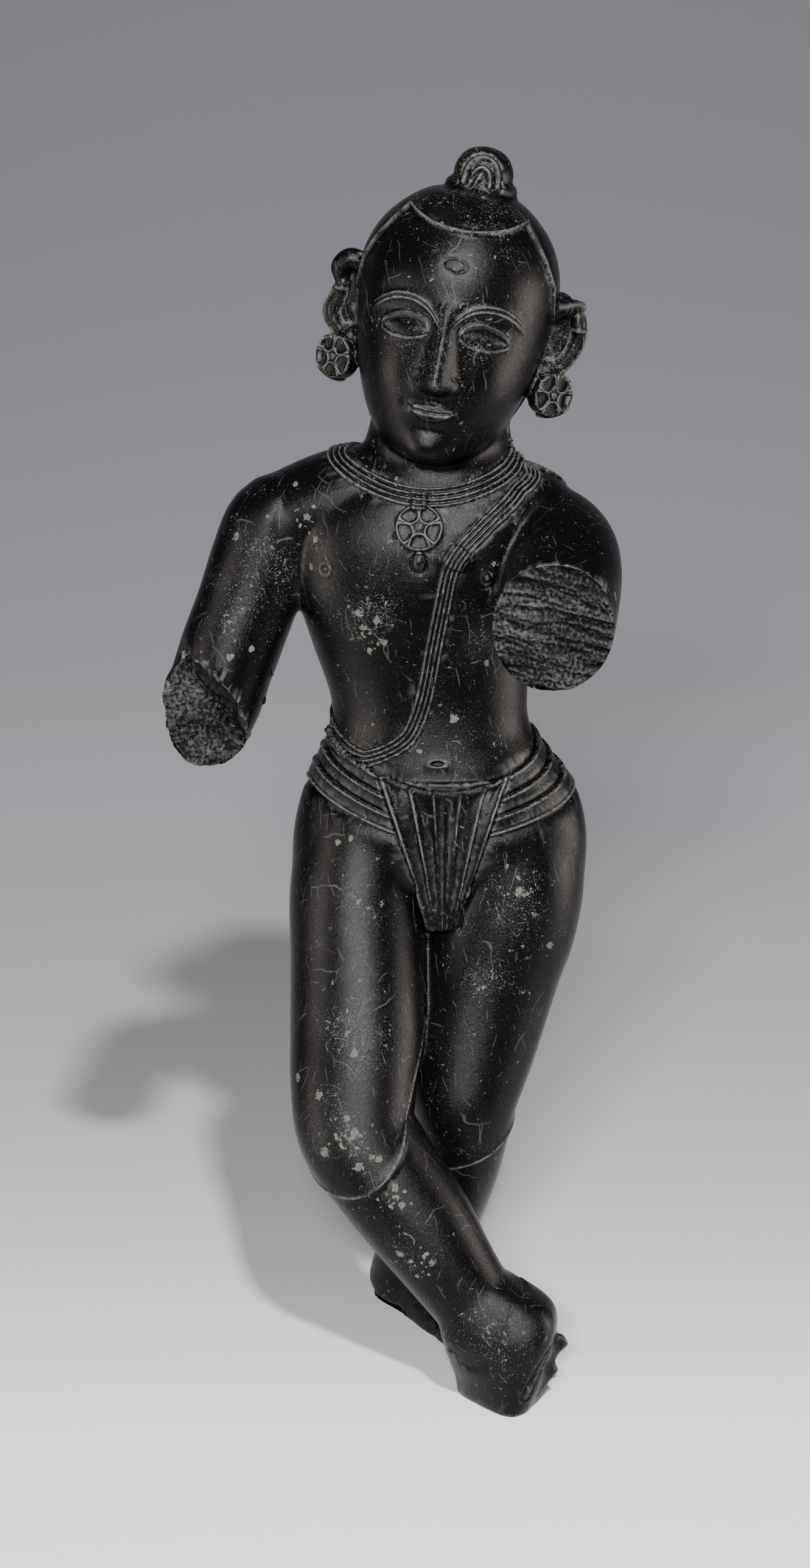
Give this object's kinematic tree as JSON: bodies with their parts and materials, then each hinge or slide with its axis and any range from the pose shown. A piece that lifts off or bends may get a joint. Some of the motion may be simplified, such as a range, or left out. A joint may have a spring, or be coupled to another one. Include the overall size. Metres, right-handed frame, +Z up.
{
  "type": "stone figure",
  "caption": "Carved black stone figure of a standing flute player with crossed legs, its forearms lost, with topknot, ear rosettes, necklace, sash and pleated waistcloth.",
  "frame": {"origin": "centre of the bounding box on the plane that the feet stand on", "axes": "+Z up along the figure's height, -Y to the front where the face and the front foot look, +X to the figure's own left"},
  "size_m": [0.2642, 0.207, 0.6993],
  "materials": {
    "black_stone": "polished near black, worn and dusty in the carving, rough and grey on the breaks"
  },
  "bodies": {
    "root": {"krishna_figure": "black_stone"}
  },
  "joints": []
}
